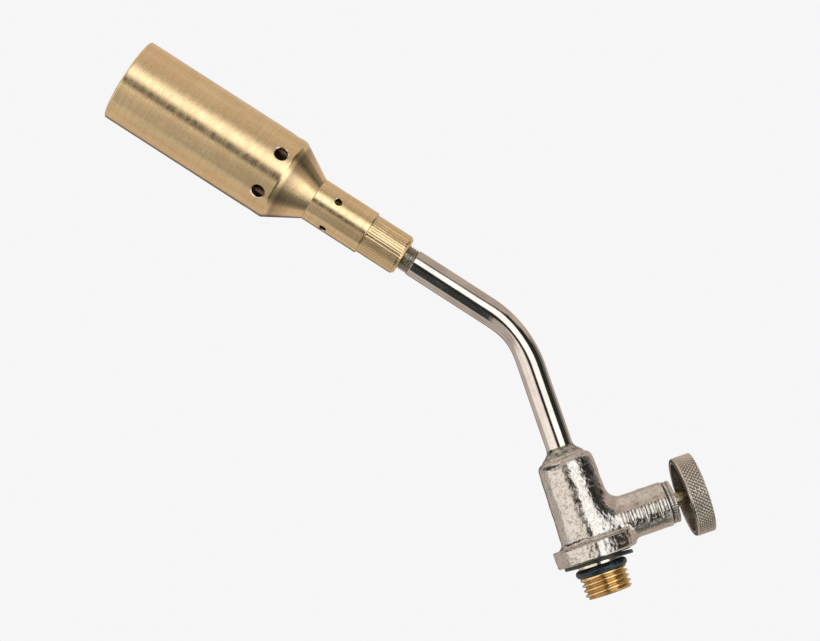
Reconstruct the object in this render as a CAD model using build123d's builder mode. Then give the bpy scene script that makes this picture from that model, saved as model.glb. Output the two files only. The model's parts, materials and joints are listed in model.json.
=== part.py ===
from build123d import *
from math import cos, pi, radians, sin, tan
import os

# A hand-held propane torch head, in millimetres.
# Origin: the centre of the valve body's underside, on the inlet's axis.
# +Z runs up the barrel, +X out along the valve arm to the knob, and the burner leans over -X.

os.makedirs("parts", exist_ok=True)

# --- Driving dimensions ---------------------------------------------------------------------------

SNUG = 0.03                     # radial gap between pieces that are pressed or screwed together
EDGE = 0.3                      # small broken edge

# Inlet connector and its seals
INLET_R = 7.0                   # M14 x 1.5 male thread
INLET_PITCH = 1.5
INLET_BOTTOM = -11.0
INLET_STEM_R = 6.45
INLET_TOP = 3.2                 # end of the stem inside the body
INLET_BORE_R = 2.6
INLET_MOUTH_R = 3.6
INLET_MOUTH_END = -1.0
INLET_CHAMFER = 0.6
ORING_R = 1.2                   # section radius of the inlet's O-ring
ORING_Z = -3.3
ORING_GROOVE_R = 5.35
FILTER_THICK = 1.0
PIN_R = 0.9
PIN_FLANGE_THICK = 1.2
PIN_RECESS = 0.9                # the pin's tip stops short of the thread's end
WASHER_R = 10.25
WASHER_THICK = 0.8

# Cast valve body
FLANGE_CORNER_R = 12.8
FLANGE_CORNER_ROUND = 4.0
FLANGE_THICK = 5.0
POCKET_R = 6.5
POCKET_DEPTH = 4.2
BARREL_FOOT_R = 8.95
FOOT_FILLET = 1.9
BARREL_TOP_R = 8.25
SHOULDER_Z = 27.3
SHOULDER_MID = (7.6, 29.4)      # a point on the rounded shoulder
BODY_TOP = 31.2
BODY_TOP_R = 6.0
SOCKET_FLOOR = 22.0
OUTLET_FLOOR = 6.2
ARM_Z = 8.1
ARM_R = 6.65
ARM_END = 24.1
ARM_FILLET = 3.4
GLAND_BORE_R = 4.6
GLAND_FLOOR = 9.3
CHAMBER_R = 3.2
CHAMBER_FLOOR = 4.4
INLET_DRILL_X = 5.4
INLET_DRILL_R = 0.9

# Needle valve
NEEDLE_START = 3.2
NEEDLE_TIP_R = 0.4
NEEDLE_GAP = 0.05               # the shut needle clears the seat's cone by a hair
SHANK_R = 2.0
SEAT_R = 2.55
SEAT_BORE_R = 0.8
SEAT_START = 2.6
SPINDLE_THREAD_R = 2.9          # M6 x 1
SPINDLE_PITCH = 1.0
SPINDLE_THREAD_START = 12.5
SPINDLE_THREAD_END = 17.0
STEM_R = 2.15
STEM_END = 33.4
SPINDLE_ORING_X = 10.8
SPINDLE_ORING_R = 0.55
SPINDLE_GROOVE_R = 1.9
GLAND_THREAD_BORE_R = 3.1
GLAND_RING_R = 6.3
GLAND_RING_START = 24.45
GLAND_RING_END = 26.4
VALVE_TRAVEL = 2.5              # two and a half turns of the spindle

# Control knob
KNOB_R = 11.85
KNOB_START = 29.2
KNOB_END = 35.0
KNOB_RECESS_R = 10.25
KNOB_DISH_R = 9.6
KNOB_WEB_START = 32.6
KNOB_WEB_END = 33.6
KNOB_EDGE = 0.6
HUB_R = 3.2
HUB_LENGTH = 1.6                # behind the knob's web
HUB_STEP = 0.4
SCREW_HEAD_R = 2.9
SCREW_HEAD_THICK = 1.2
SCREW_SLOT_DEPTH = 0.7
SCREW_HOLE_R = 1.25             # tapped M2.5
SCREW_HOLE_DEPTH = 5.5

# Gas tube
TUBE_R = 4.0
TUBE_BORE_R = 2.5
BEND_ANGLE = 38.4               # degrees, from the barrel's axis to the burner's
BEND_R = 34.0
BEND_CORNER_Z = 69.4            # where the two straight runs' axes meet
SHOULDER_FROM_CORNER = 36.9     # from that corner to the tube's threaded end
BRAZE_TOP = 33.6
BRAZE_MID = (4.75, 32.15)       # a point on the hollow side of the braze

# Burner, measured along its axis from the shoulder of the tube's threaded end
TUBE_THREAD_R = 3.9             # M8 x 0.75
TUBE_THREAD_PITCH = 0.75
TUBE_END = 11.0
SEAL_THICK = 0.54
COLLAR_START = 3.35
COLLAR_END = 15.9
COLLAR_R = 6.2
COLLAR_TEETH = 48
COLLAR_TOOTH_DEPTH = 0.32
COLLAR_CHAMFER = 0.9
COLLAR_SPIGOT_R = 4.9
COLLAR_SPIGOT_END = 19.4
JET_START = 11.9
JET_THREAD_R = 2.95             # M6 x 0.75
JET_BORE_R = 1.9
JET_FLOW_R = 1.0
JET_OUTLET_R = 0.2
JET_HEAD_R = 2.6                # at the root of its hexagon
JET_HEAD_FLATS = 7.0
JET_HEAD_THICK = 2.2
JET_NOSE = 2.4
FILTER_LENGTH = 3.6
NECK_R = 6.75
NECK_END = 34.4
NECK_BORE_R = 5.0
NECK_HOLE_R = 1.1
NECK_HOLE_AT = 27.6
NECK_HOLE_TURN = 21.0           # degrees from the plane of the bend
NECK_SPIGOT = 4.0
CONE_END = 44.9
FLAME_TUBE_R = 12.9
FLAME_TUBE_END = 98.9
FLAME_BORE_R = 11.6
MOUTH_BORE_R = 11.9
MOUTH_BORE_START = 66.0
CONE_BORE_R = 5.2
AIR_HOLE_R = 2.0
AIR_HOLE_AT = 48.7
AIR_HOLE_TURN = -10.0            # the first, from the plane of the bend
NOZZLE_R = 7.5
NOZZLE_STEM_R = 3.55
NOZZLE_BORE_R = 2.6
NOZZLE_WALL = 0.8
NOZZLE_END = 60.0
HOLDER_THICK = 6.0

# --- Planes and axes ------------------------------------------------------------------------------

burner_dir = Vector(-sin(radians(BEND_ANGLE)), 0, cos(radians(BEND_ANGLE)))
burner_side = Vector(cos(radians(BEND_ANGLE)), 0, sin(radians(BEND_ANGLE)))
bend_corner = Vector(0, 0, BEND_CORNER_Z)
tube_shoulder = bend_corner + burner_dir * SHOULDER_FROM_CORNER

# Half planes for revolved outlines: first the radius, then the distance along the axis.
inlet_half = Plane(origin=(0, 0, 0), x_dir=(1, 0, 0), z_dir=(0, -1, 0))
burner_half = Plane(origin=tube_shoulder, x_dir=burner_side, z_dir=(0, -1, 0))
# Along the arm the outline is given as the distance from the barrel's axis, then the radius.
arm_half = Plane(origin=(0, 0, ARM_Z), x_dir=(1, 0, 0), z_dir=(0, -1, 0))

burner_plane = Plane(origin=tube_shoulder, x_dir=burner_side, z_dir=burner_dir)
arm_plane = Plane(origin=(0, 0, ARM_Z), x_dir=(0, 1, 0), z_dir=(1, 0, 0))

inlet_axis = Axis.Z
burner_axis = Axis(tube_shoulder, burner_dir)
arm_axis = Axis((0, 0, ARM_Z), (1, 0, 0))


def thread_rings(crest_r, pitch, start, end):
    """Outline points of a thread from start to end, with a ring for each turn: (radius, along)."""
    depth = 0.61 * pitch
    turns = int((end - start) / pitch)
    margin = ((end - start) - turns * pitch) / 2
    points = [(crest_r, start)]
    for turn in range(turns):
        low = start + margin + turn * pitch
        points.append((crest_r, low + 0.14 * pitch))
        points.append((crest_r - depth, low + 0.44 * pitch))
        points.append((crest_r - depth, low + 0.56 * pitch))
        points.append((crest_r, low + 0.86 * pitch))
    points.append((crest_r, end))
    return points


def swapped(points):
    """The same points with the distance along the axis first."""
    return [(along, radius) for radius, along in points]


def save(piece, name):
    """Labels a finished piece and writes it to its own STEP file."""
    piece.part.label = name
    export_step(piece.part, f"parts/{name}.step")


# --- Inlet ----------------------------------------------------------------------------------------

groove_top = ORING_Z + ORING_R + 0.05
groove_bottom = ORING_Z - ORING_R - 0.05

with BuildPart() as inlet_connector:
    with BuildSketch(inlet_half):
        with BuildLine():
            Polyline(
                (INLET_BORE_R, INLET_TOP),
                (INLET_STEM_R, INLET_TOP),
                (INLET_STEM_R, groove_top),
                (ORING_GROOVE_R, groove_top),
                (ORING_GROOVE_R, groove_bottom),
                *reversed(thread_rings(INLET_R, INLET_PITCH, INLET_BOTTOM + INLET_CHAMFER, groove_bottom)),
                (INLET_R - INLET_CHAMFER, INLET_BOTTOM),
                (INLET_MOUTH_R, INLET_BOTTOM),
                (INLET_MOUTH_R, INLET_MOUTH_END),
                (INLET_BORE_R, INLET_MOUTH_END),
                close=True,
            )
        make_face()
    revolve(axis=inlet_axis)
save(inlet_connector, "inlet_connector")

with BuildPart() as inlet_washer:
    with BuildSketch(Plane.XY.offset(-WASHER_THICK)):
        Circle(WASHER_R)
        Circle(INLET_STEM_R + 5 * SNUG, mode=Mode.SUBTRACT)
    extrude(amount=WASHER_THICK)
save(inlet_washer, "inlet_washer")

with BuildPart() as inlet_oring:
    with BuildSketch(inlet_half):
        with Locations((ORING_GROOVE_R + SNUG + ORING_R, ORING_Z)):
            Circle(ORING_R)
    revolve(axis=inlet_axis)
save(inlet_oring, "inlet_oring")

filter_r = INLET_MOUTH_R - SNUG

with BuildPart() as inlet_filter:
    with BuildSketch(Plane.XY.offset(INLET_MOUTH_END - FILTER_THICK)):
        Circle(filter_r)
        with GridLocations(1.1, 1.1, 5, 5):
            Circle(0.3, mode=Mode.SUBTRACT)
    extrude(amount=FILTER_THICK)
save(inlet_filter, "inlet_filter")

# The pin that opens the cylinder's valve stands on a flange with three gas passages.
pin_flange_top = INLET_MOUTH_END - FILTER_THICK
pin_tip = INLET_BOTTOM + PIN_RECESS

with BuildPart() as opening_pin:
    with BuildSketch(Plane.XY.offset(pin_flange_top)):
        Circle(filter_r)
        with PolarLocations(2.2, 3):
            Circle(0.8, mode=Mode.SUBTRACT)
    extrude(amount=-PIN_FLANGE_THICK)
    with BuildSketch(Plane.XY.offset(pin_flange_top)):
        Circle(PIN_R)
    extrude(amount=pin_tip - pin_flange_top)
    chamfer(opening_pin.faces().sort_by(Axis.Z)[0].edges(), EDGE)
save(opening_pin, "opening_pin")

# --- Cast valve body ------------------------------------------------------------------------------

# Barrel, a little wider at its foot, with a rounded shoulder, and the valve arm blended into it
with BuildPart() as barrel_blank:
    with BuildSketch(inlet_half):
        with BuildLine():
            Polyline((0, BODY_TOP), (0, 0), (BARREL_FOOT_R, 0), (BARREL_TOP_R, SHOULDER_Z))
            ThreePointArc((BARREL_TOP_R, SHOULDER_Z), SHOULDER_MID, (BODY_TOP_R, BODY_TOP))
            Line((BODY_TOP_R, BODY_TOP), (0, BODY_TOP))
        make_face()
    revolve(axis=inlet_axis)
    with BuildSketch(arm_plane):
        Circle(ARM_R)
    extrude(amount=ARM_END)
    fillet(barrel_blank.edges().filter_by(GeomType.BSPLINE), ARM_FILLET)
    chamfer(barrel_blank.faces().sort_by(Axis.X)[-1].edges(), EDGE)

foot_top = FLANGE_THICK + FOOT_FILLET
foot_r = BARREL_FOOT_R + FOOT_FILLET

with BuildPart() as valve_body:
    # Octagonal flange with a corner on each axis
    with BuildSketch(Plane.XY):
        RegularPolygon(FLANGE_CORNER_R, 8)
        fillet(vertices(), FLANGE_CORNER_ROUND)
    extrude(amount=FLANGE_THICK)
    chamfer(valve_body.faces().sort_by(Axis.Z)[-1].edges(), 0.5)
    add(barrel_blank.part)
    # The barrel's foot spreads on to the flange
    with BuildSketch(inlet_half):
        with BuildLine():
            Polyline((BARREL_FOOT_R, foot_top), (0, foot_top), (0, 0), (foot_r, 0), (foot_r, FLANGE_THICK))
            RadiusArc((foot_r, FLANGE_THICK), (BARREL_FOOT_R, foot_top), FOOT_FILLET)
        make_face()
    revolve(axis=inlet_axis)
    # Pocket for the inlet connector, and the drilling from it to the valve chamber
    with BuildSketch(Plane.XY):
        Circle(POCKET_R)
    extrude(amount=POCKET_DEPTH, mode=Mode.SUBTRACT)
    with BuildSketch(Plane.XY):
        with Locations((INLET_DRILL_X, 0)):
            Circle(INLET_DRILL_R)
    extrude(amount=ARM_Z, mode=Mode.SUBTRACT)
    # Outlet bore and the tube's socket
    with BuildSketch(Plane.XY.offset(OUTLET_FLOOR)):
        Circle(TUBE_BORE_R)
    extrude(amount=BODY_TOP - OUTLET_FLOOR, mode=Mode.SUBTRACT)
    with BuildSketch(Plane.XY.offset(SOCKET_FLOOR)):
        Circle(TUBE_R + SNUG)
    extrude(amount=BODY_TOP - SOCKET_FLOOR, mode=Mode.SUBTRACT)
    # Passage, seat hole, valve chamber and gland thread, bored along the arm
    with BuildSketch(arm_plane):
        Circle(SEAT_BORE_R + EDGE)
    extrude(amount=SEAT_START, mode=Mode.SUBTRACT)
    with BuildSketch(arm_plane.offset(SEAT_START)):
        Circle(SEAT_R + SNUG)
    extrude(amount=CHAMBER_FLOOR - SEAT_START, mode=Mode.SUBTRACT)
    with BuildSketch(arm_plane.offset(CHAMBER_FLOOR)):
        Circle(CHAMBER_R)
    extrude(amount=GLAND_FLOOR - CHAMBER_FLOOR, mode=Mode.SUBTRACT)
    with BuildSketch(arm_plane.offset(GLAND_FLOOR)):
        Circle(GLAND_BORE_R)
    extrude(amount=ARM_END - GLAND_FLOOR, mode=Mode.SUBTRACT)
save(valve_body, "valve_body")

# --- Gas tube -------------------------------------------------------------------------------------

tube_start = SOCKET_FLOOR + EDGE
bend_tangent = BEND_R * tan(radians(BEND_ANGLE / 2))
bend_low = Vector(0, 0, BEND_CORNER_Z - bend_tangent)
bend_high = bend_corner + burner_dir * bend_tangent

with BuildPart() as bent_tube:
    with BuildLine() as tube_route:
        Line((0, 0, tube_start), bend_low)
        TangentArc(bend_low, bend_high, tangent=(0, 0, 1))
        Line(bend_high, tube_shoulder)
    with BuildSketch(Plane.XY.offset(tube_start)):
        Circle(TUBE_R)
        Circle(TUBE_BORE_R, mode=Mode.SUBTRACT)
    sweep(path=tube_route.line)
    # The threaded end that carries the burner
    with BuildSketch(burner_half):
        with BuildLine():
            Polyline(
                (TUBE_BORE_R, 0),
                *thread_rings(TUBE_THREAD_R, TUBE_THREAD_PITCH, 0, TUBE_END - EDGE),
                (TUBE_THREAD_R - EDGE, TUBE_END),
                (TUBE_BORE_R, TUBE_END),
                close=True,
            )
        make_face()
    revolve(axis=burner_axis)
save(bent_tube, "bent_tube")

braze_foot = (BODY_TOP_R - 0.15, BODY_TOP)
braze_tip = (TUBE_R + 0.12, BRAZE_TOP)

with BuildPart() as braze_fillet:
    with BuildSketch(inlet_half):
        with BuildLine():
            Polyline(braze_foot, (TUBE_R + SNUG, BODY_TOP), (TUBE_R + SNUG, BRAZE_TOP), braze_tip)
            ThreePointArc(braze_tip, BRAZE_MID, braze_foot)
        make_face()
    revolve(axis=inlet_axis)
save(braze_fillet, "braze_fillet")

# --- Valve in the arm -----------------------------------------------------------------------------

seat_cone_start = 3.6
seat_mouth_r = 1.5

with BuildPart() as valve_seat:
    with BuildSketch(arm_half):
        with BuildLine():
            Polyline(
                (SEAT_START, SEAT_BORE_R),
                (SEAT_START, SEAT_R),
                (CHAMBER_FLOOR, SEAT_R),
                (CHAMBER_FLOOR, seat_mouth_r),
                (seat_cone_start, SEAT_BORE_R),
                close=True,
            )
        make_face()
    revolve(axis=arm_axis)
save(valve_seat, "valve_seat")

# Nut in the end of the arm. It stops the spindle's thread when the valve is fully open.
stem_bore_r = STEM_R + 4 * SNUG
gland_start = GLAND_FLOOR + EDGE
gland_stop = SPINDLE_THREAD_END + VALVE_TRAVEL + 0.1

with BuildPart() as gland_nut:
    with BuildSketch(arm_half):
        with BuildLine():
            Polyline(
                (gland_start, GLAND_THREAD_BORE_R),
                (gland_start, GLAND_BORE_R - EDGE),
                (gland_start + EDGE, GLAND_BORE_R - SNUG),
                (GLAND_RING_START, GLAND_BORE_R - SNUG),
                (GLAND_RING_START, GLAND_RING_R - EDGE),
                (GLAND_RING_START + EDGE, GLAND_RING_R),
                (GLAND_RING_END - EDGE, GLAND_RING_R),
                (GLAND_RING_END, GLAND_RING_R - EDGE),
                (GLAND_RING_END, stem_bore_r + EDGE),
                (GLAND_RING_END - EDGE, stem_bore_r),
                (gland_stop, stem_bore_r),
                (gland_stop, GLAND_THREAD_BORE_R),
                close=True,
            )
        make_face()
    revolve(axis=arm_axis)
save(gland_nut, "gland_nut")

with BuildPart() as gland_seal:
    with BuildSketch(arm_plane.offset(ARM_END)):
        Circle(GLAND_RING_R - EDGE)
        Circle(GLAND_BORE_R, mode=Mode.SUBTRACT)
    extrude(amount=GLAND_RING_START - ARM_END)
save(gland_seal, "gland_seal")

# Needle, shank, O-ring groove between two lands, thread and plain stem with a tapped end
land_start = SPINDLE_ORING_X - 2 * SPINDLE_ORING_R
groove_half = SPINDLE_ORING_R + 0.1
screw_hole_end = STEM_END - SCREW_HOLE_DEPTH

with BuildPart() as spindle:
    with BuildSketch(arm_half):
        with BuildLine():
            Polyline(
                (NEEDLE_START, 0),
                (NEEDLE_START, NEEDLE_TIP_R),
                (seat_cone_start, SEAT_BORE_R - NEEDLE_GAP),
                (CHAMBER_FLOOR, seat_mouth_r - NEEDLE_GAP),
                (CHAMBER_FLOOR + EDGE, seat_mouth_r - NEEDLE_GAP),
                (CHAMBER_FLOOR + 3 * EDGE, SHANK_R),
                (land_start, SHANK_R),
                (land_start, SPINDLE_THREAD_R),
                (SPINDLE_ORING_X - groove_half, SPINDLE_THREAD_R),
                (SPINDLE_ORING_X - groove_half, SPINDLE_GROOVE_R),
                (SPINDLE_ORING_X + groove_half, SPINDLE_GROOVE_R),
                (SPINDLE_ORING_X + groove_half, SPINDLE_THREAD_R),
                *swapped(thread_rings(SPINDLE_THREAD_R, SPINDLE_PITCH, SPINDLE_THREAD_START,
                                      SPINDLE_THREAD_END)),
                (SPINDLE_THREAD_END, STEM_R),
                (STEM_END - EDGE, STEM_R),
                (STEM_END, STEM_R - EDGE),
                (STEM_END, SCREW_HOLE_R),
                (screw_hole_end, SCREW_HOLE_R),
                (screw_hole_end, 0),
                close=True,
            )
        make_face()
    revolve(axis=arm_axis)
save(spindle, "spindle")

with BuildPart() as spindle_oring:
    with BuildSketch(arm_half):
        with Locations((SPINDLE_ORING_X, SPINDLE_GROOVE_R + SNUG + SPINDLE_ORING_R)):
            Circle(SPINDLE_ORING_R)
    revolve(axis=arm_axis)
save(spindle_oring, "spindle_oring")

# --- Control knob ---------------------------------------------------------------------------------

with BuildPart() as control_knob:
    with BuildSketch(arm_half):
        with BuildLine():
            Polyline(
                (KNOB_START, KNOB_RECESS_R + EDGE),
                (KNOB_START, KNOB_R - KNOB_EDGE),
                (KNOB_START + KNOB_EDGE, KNOB_R),
                (KNOB_END - KNOB_EDGE, KNOB_R),
                (KNOB_END, KNOB_R - KNOB_EDGE),
                (KNOB_END, KNOB_DISH_R + EDGE),
                (KNOB_END - EDGE, KNOB_DISH_R),
                (KNOB_WEB_END, KNOB_DISH_R - EDGE),
                (KNOB_WEB_END, HUB_R - HUB_STEP),
                (KNOB_WEB_START, HUB_R - HUB_STEP),
                (KNOB_WEB_START, KNOB_RECESS_R - EDGE),
                (KNOB_START + EDGE, KNOB_RECESS_R),
                close=True,
            )
        make_face()
    revolve(axis=arm_axis)
save(control_knob, "control_knob")

# The hub is riveted into the knob's web and sits on the end of the stem.
hub_start = KNOB_WEB_START - HUB_LENGTH
hub_rivet_r = HUB_R - HUB_STEP - SNUG

with BuildPart() as knob_hub:
    with BuildSketch(arm_half):
        with BuildLine():
            Polyline(
                (hub_start, STEM_R + SNUG),
                (hub_start, HUB_R - EDGE),
                (hub_start + EDGE, HUB_R),
                (KNOB_WEB_START, HUB_R),
                (KNOB_WEB_START, hub_rivet_r),
                (KNOB_WEB_END, hub_rivet_r),
                (KNOB_WEB_END, STEM_R + SNUG),
                close=True,
            )
        make_face()
    revolve(axis=arm_axis)
save(knob_hub, "knob_hub")

screw_head_start = KNOB_WEB_END + SNUG
screw_head_end = screw_head_start + SCREW_HEAD_THICK

with BuildPart() as knob_screw:
    with BuildSketch(arm_plane.offset(screw_head_start)):
        Circle(SCREW_HEAD_R)
    extrude(amount=SCREW_HEAD_THICK)
    fillet(knob_screw.faces().sort_by(Axis.X)[-1].edges(), 0.5)
    with BuildSketch(arm_plane.offset(screw_head_end)):
        SlotOverall(3.4, 0.7)
        SlotOverall(3.4, 0.7, rotation=90)
    extrude(amount=-SCREW_SLOT_DEPTH, mode=Mode.SUBTRACT)
    with BuildSketch(arm_plane.offset(screw_hole_end + EDGE)):
        Circle(SCREW_HOLE_R - SNUG)
    extrude(amount=screw_head_start - screw_hole_end - EDGE)
save(knob_screw, "knob_screw")

# --- Burner ---------------------------------------------------------------------------------------

seal_start = TUBE_END + SNUG
seal_seat = seal_start + SEAL_THICK + SNUG

# Straight serrations: a ring of teeth, turned down at both ends
teeth_points = []
for tooth in range(COLLAR_TEETH):
    for step, radius in ((0.0, COLLAR_R), (0.3, COLLAR_R), (0.65, COLLAR_R - COLLAR_TOOTH_DEPTH)):
        angle = 2 * pi * (tooth + step) / COLLAR_TEETH
        teeth_points.append((radius * cos(angle), radius * sin(angle)))

with BuildPart() as burner_collar:
    with BuildSketch(burner_plane.offset(COLLAR_START)):
        with BuildLine():
            Polyline(*teeth_points, close=True)
        make_face()
    extrude(amount=COLLAR_END - COLLAR_START)
    with BuildSketch(burner_half):
        with BuildLine():
            Polyline(
                (0, COLLAR_START),
                (COLLAR_R - COLLAR_CHAMFER, COLLAR_START),
                (COLLAR_R, COLLAR_START + COLLAR_CHAMFER),
                (COLLAR_R, COLLAR_END - EDGE),
                (COLLAR_R - EDGE, COLLAR_END),
                (0, COLLAR_END),
                close=True,
            )
        make_face()
    revolve(axis=burner_axis, mode=Mode.INTERSECT)
    with BuildSketch(burner_plane.offset(COLLAR_END)):
        Circle(COLLAR_SPIGOT_R)
    extrude(amount=COLLAR_SPIGOT_END - COLLAR_END)
    with BuildSketch(burner_plane.offset(COLLAR_START)):
        Circle(TUBE_THREAD_R + 5 * SNUG)
    extrude(amount=seal_seat - COLLAR_START, mode=Mode.SUBTRACT)
    with BuildSketch(burner_plane.offset(COLLAR_START)):
        Circle(JET_THREAD_R + SNUG)
    extrude(amount=COLLAR_SPIGOT_END - COLLAR_START, mode=Mode.SUBTRACT)
save(burner_collar, "burner_collar")

with BuildPart() as jet_seal:
    with BuildSketch(burner_plane.offset(seal_start)):
        Circle(TUBE_THREAD_R)
        Circle(TUBE_BORE_R, mode=Mode.SUBTRACT)
    extrude(amount=SEAL_THICK)
save(jet_seal, "jet_seal")

# Jet: a threaded stem with a hexagon head that seats on the collar's spigot, and a fine outlet
jet_head_start = COLLAR_SPIGOT_END + SNUG
jet_head_end = jet_head_start + JET_HEAD_THICK
jet_tip = jet_head_end + JET_NOSE
jet_step = JET_START + FILTER_LENGTH + 3 * EDGE

with BuildPart() as jet:
    with BuildSketch(burner_half):
        with BuildLine():
            Polyline(
                (JET_BORE_R, JET_START),
                *thread_rings(JET_THREAD_R, TUBE_THREAD_PITCH, JET_START, jet_head_start - 1),
                (JET_HEAD_R, jet_head_start),
                (JET_HEAD_R, jet_head_end),
                (JET_HEAD_R - 2 * EDGE, jet_head_end),
                (JET_FLOW_R + EDGE, jet_tip),
                (JET_OUTLET_R, jet_tip),
                (JET_OUTLET_R, jet_tip - 0.8),
                (JET_FLOW_R, jet_tip - 1.6),
                (JET_FLOW_R, jet_step),
                (JET_BORE_R, jet_step),
                close=True,
            )
        make_face()
    revolve(axis=burner_axis)
    with BuildSketch(burner_plane.offset(jet_head_start)):
        RegularPolygon(JET_HEAD_FLATS / 2, 6, major_radius=False)
        Circle(JET_HEAD_R - 0.1, mode=Mode.SUBTRACT)
    extrude(amount=JET_HEAD_THICK)
save(jet, "jet")

with BuildPart() as jet_filter:
    with BuildSketch(burner_plane.offset(JET_START + EDGE)):
        Circle(JET_BORE_R - SNUG)
    extrude(amount=FILTER_LENGTH)
    chamfer(jet_filter.edges().filter_by(GeomType.CIRCLE), 0.25)
save(jet_filter, "jet_filter")


def cross_plane(along, turn):
    """Plane through the burner's axis for a hole outwards, turned from the plane of the bend."""
    way_out = burner_side * cos(radians(turn)) + Vector(0, 1, 0) * sin(radians(turn))
    return Plane(origin=tube_shoulder + burner_dir * along, z_dir=way_out)


neck_start = COLLAR_END + SNUG
neck_spigot_end = NECK_END + NECK_SPIGOT
nozzle_start = NECK_END - 2.6

with BuildPart() as mixer_neck:
    with BuildSketch(burner_half):
        with BuildLine():
            Polyline(
                (NECK_BORE_R, neck_start),
                (NECK_R - EDGE, neck_start),
                (NECK_R, neck_start + EDGE),
                (NECK_R, NECK_END - SNUG),
                (CONE_BORE_R - SNUG, NECK_END - SNUG),
                (CONE_BORE_R - SNUG, neck_spigot_end),
                (NOZZLE_STEM_R + SNUG, neck_spigot_end),
                (NOZZLE_STEM_R + SNUG, nozzle_start - EDGE),
                (NECK_BORE_R, nozzle_start - 5 * EDGE),
                close=True,
            )
        make_face()
    revolve(axis=burner_axis)
    for quarter in range(4):
        with BuildSketch(cross_plane(NECK_HOLE_AT, NECK_HOLE_TURN + 90 * quarter)):
            Circle(NECK_HOLE_R)
        extrude(amount=2 * NECK_R, mode=Mode.SUBTRACT)
save(mixer_neck, "mixer_neck")

# The nozzle's stem opens into a cup, which holds the flame holder clear of the flame tube.
nozzle_cone_start = neck_spigot_end + 1.4
nozzle_cone_end = nozzle_cone_start + 5.2

with BuildPart() as mixing_nozzle:
    with BuildSketch(burner_half):
        with BuildLine():
            Polyline(
                (NOZZLE_BORE_R, nozzle_start),
                (NOZZLE_STEM_R, nozzle_start),
                (NOZZLE_STEM_R, nozzle_cone_start),
                (NOZZLE_R, nozzle_cone_end),
                (NOZZLE_R, NOZZLE_END - EDGE),
                (NOZZLE_R - EDGE, NOZZLE_END),
                (NOZZLE_R - NOZZLE_WALL, NOZZLE_END),
                (NOZZLE_R - NOZZLE_WALL, nozzle_cone_end + NOZZLE_WALL / 2),
                (NOZZLE_BORE_R, nozzle_cone_start + NOZZLE_WALL / 2),
                close=True,
            )
        make_face()
    revolve(axis=burner_axis)
save(mixing_nozzle, "mixing_nozzle")

with BuildPart() as flame_holder:
    with BuildSketch(burner_plane.offset(NOZZLE_END - HOLDER_THICK - EDGE)):
        Circle(NOZZLE_R - NOZZLE_WALL - SNUG)
        Circle(1.4, mode=Mode.SUBTRACT)
        with PolarLocations(3.3, 6):
            Circle(0.9, mode=Mode.SUBTRACT)
        with PolarLocations(5.35, 12):
            Circle(0.6, mode=Mode.SUBTRACT)
    extrude(amount=HOLDER_THICK)
save(flame_holder, "flame_holder")

with BuildPart() as flame_tube:
    with BuildSketch(burner_half):
        with BuildLine():
            Polyline(
                (CONE_BORE_R, NECK_END),
                (NECK_R - SNUG, NECK_END),
                (FLAME_TUBE_R, CONE_END),
                (FLAME_TUBE_R, FLAME_TUBE_END - 2 * EDGE),
                (FLAME_TUBE_R - EDGE, FLAME_TUBE_END),
                (MOUTH_BORE_R + EDGE / 2, FLAME_TUBE_END),
                (MOUTH_BORE_R, FLAME_TUBE_END - EDGE),
                (MOUTH_BORE_R, MOUTH_BORE_START),
                (FLAME_BORE_R, MOUTH_BORE_START),
                (FLAME_BORE_R, CONE_END + 4 * EDGE),
                (CONE_BORE_R, neck_spigot_end + EDGE),
                close=True,
            )
        make_face()
    revolve(axis=burner_axis)
    for sixth in range(6):
        with BuildSketch(cross_plane(AIR_HOLE_AT, AIR_HOLE_TURN + 60 * sixth)):
            Circle(AIR_HOLE_R)
        extrude(amount=2 * FLAME_TUBE_R, mode=Mode.SUBTRACT)
save(flame_tube, "flame_tube")

print(f"The tube's threaded end starts at {tube_shoulder}, and the burner points along {burner_dir}.")
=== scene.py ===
import json
import math
import bmesh
import bpy
import numpy as np
from mathutils import Matrix, Vector


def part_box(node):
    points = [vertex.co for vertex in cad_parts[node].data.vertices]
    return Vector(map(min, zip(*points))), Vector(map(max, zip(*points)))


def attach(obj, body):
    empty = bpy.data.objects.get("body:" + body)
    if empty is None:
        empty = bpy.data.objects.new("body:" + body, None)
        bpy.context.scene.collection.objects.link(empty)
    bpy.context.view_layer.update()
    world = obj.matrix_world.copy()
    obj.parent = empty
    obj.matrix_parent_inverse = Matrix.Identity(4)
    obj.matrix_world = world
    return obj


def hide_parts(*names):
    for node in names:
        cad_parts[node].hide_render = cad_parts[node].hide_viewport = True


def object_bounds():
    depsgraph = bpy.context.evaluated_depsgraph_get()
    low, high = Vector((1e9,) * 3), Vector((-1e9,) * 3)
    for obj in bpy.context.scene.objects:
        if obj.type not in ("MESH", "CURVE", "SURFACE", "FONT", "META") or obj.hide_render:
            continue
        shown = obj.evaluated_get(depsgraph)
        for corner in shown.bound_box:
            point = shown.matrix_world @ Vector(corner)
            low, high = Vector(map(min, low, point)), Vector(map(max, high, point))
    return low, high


# A hand-held propane torch head: turned brass burner, bent plated tube, rough-cast plated valve
# body with a knurled knob, and a brass screw inlet with its seals.
# Lengths in this file are in millimetres, and become metres when a mesh is made.

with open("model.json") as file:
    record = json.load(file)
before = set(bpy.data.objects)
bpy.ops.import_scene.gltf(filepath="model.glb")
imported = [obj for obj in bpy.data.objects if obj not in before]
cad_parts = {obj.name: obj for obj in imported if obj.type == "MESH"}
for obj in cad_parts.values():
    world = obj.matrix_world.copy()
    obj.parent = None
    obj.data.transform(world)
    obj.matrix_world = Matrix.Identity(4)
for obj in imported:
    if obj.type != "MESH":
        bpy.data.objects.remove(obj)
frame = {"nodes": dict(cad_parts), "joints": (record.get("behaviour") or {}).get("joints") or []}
cad_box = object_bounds()

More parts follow.
